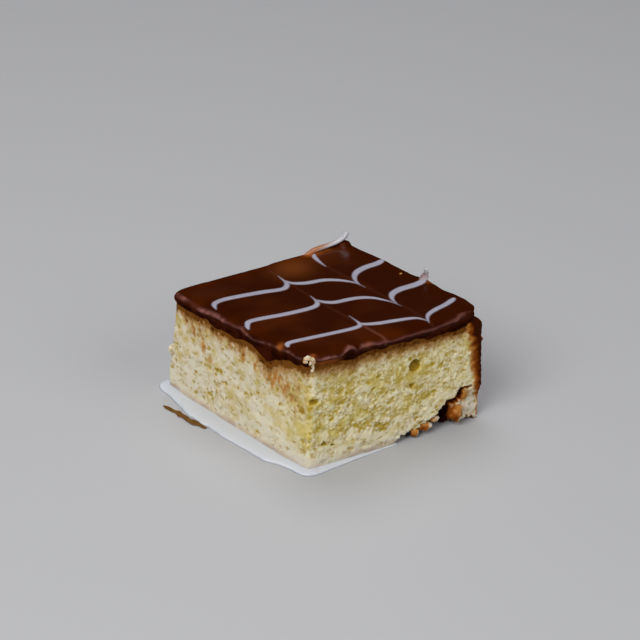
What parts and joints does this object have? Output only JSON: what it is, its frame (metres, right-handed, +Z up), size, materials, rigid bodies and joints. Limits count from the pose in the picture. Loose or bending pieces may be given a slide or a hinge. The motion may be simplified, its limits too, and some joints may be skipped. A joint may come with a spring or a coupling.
{
  "type": "tres leches cake slice",
  "caption": "Square slice of milk-soaked sponge cake under a dark glossy glaze combed with white icing, with milk pooled round its foot.",
  "frame": {"origin": "middle of the footprint, on the surface that the slice stands on", "axes": "+Z up, +X along the cut face that shows on the right of the picture, -Y out of that face"},
  "size_m": [0.0872, 0.0798, 0.0444],
  "materials": {
    "sponge_crumb": "open, damp yellow crumb with a browned pan side",
    "glaze_gloss": "dark glossy glaze with white icing lines",
    "milk": "wet white milk"
  },
  "bodies": {
    "root": {"sponge": "sponge_crumb", "glaze": "glaze_gloss", "milk": "milk"}
  },
  "joints": []
}
